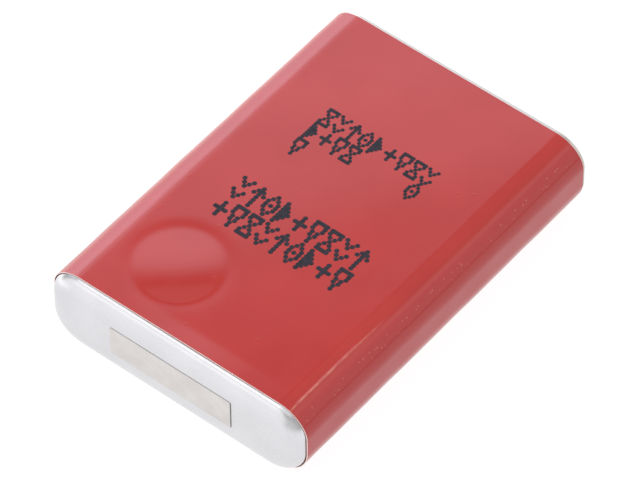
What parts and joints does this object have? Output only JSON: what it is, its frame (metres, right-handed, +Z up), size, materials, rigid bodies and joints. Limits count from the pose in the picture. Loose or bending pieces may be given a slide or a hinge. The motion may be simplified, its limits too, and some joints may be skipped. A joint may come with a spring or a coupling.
{
  "type": "prismatic battery cell",
  "caption": "Flat prismatic lithium-ion cell: drawn aluminium can with a riveted terminal lid, wound electrode roll inside, red heat-shrink sleeve outside.",
  "frame": {"origin": "on the surface that the cell lies on, under the centre of its bounding box", "axes": "+X across the cell's width, +Y from the can's closed end to the terminal end, +Z up through its thickness"},
  "size_m": [0.0338, 0.049, 0.0103],
  "materials": {
    "red_film": "red heat-shrink film, glossy, slightly wavy",
    "drawn_aluminium": "satin drawn aluminium with fine lines along the draw",
    "lid_aluminium": "satin rolled and stamped aluminium",
    "clad_nickel": "dull nickel-clad strip, faintly mottled by its spot welds",
    "terminal_nickel": "satin nickel plating",
    "tab_nickel": "rolled nickel strip",
    "tab_aluminium": "rolled aluminium strip",
    "gasket_plastic": "black moulded plastic",
    "clear_plastic": "natural milky polypropylene",
    "separator_film": "white microporous film",
    "graphite_coating": "dark grey graphite coating on foil",
    "oxide_coating": "near-black oxide coating on foil",
    "amber_tape": "amber polyimide tape"
  },
  "bodies": {
    "root": {"shrink_sleeve": "red_film", "can": "drawn_aluminium", "bottom_clad_plate": "clad_nickel", "lid_plate": "lid_aluminium", "vent_membrane": "lid_aluminium", "fill_plug": "lid_aluminium", "outer_gasket": "gasket_plastic", "negative_terminal": "terminal_nickel", "inner_insulator": "clear_plastic", "inner_terminal_plate": "tab_nickel", "top_spacer": "clear_plastic", "bottom_insulator": "clear_plastic", "separator_inner": "separator_film", "separator_outer": "separator_film", "negative_electrode": "graphite_coating", "positive_electrode": "oxide_coating", "roll_end_tape": "amber_tape", "negative_tab": "tab_nickel", "negative_tab_tape": "amber_tape", "positive_tab": "tab_aluminium", "positive_tab_tape": "amber_tape"}
  },
  "joints": []
}
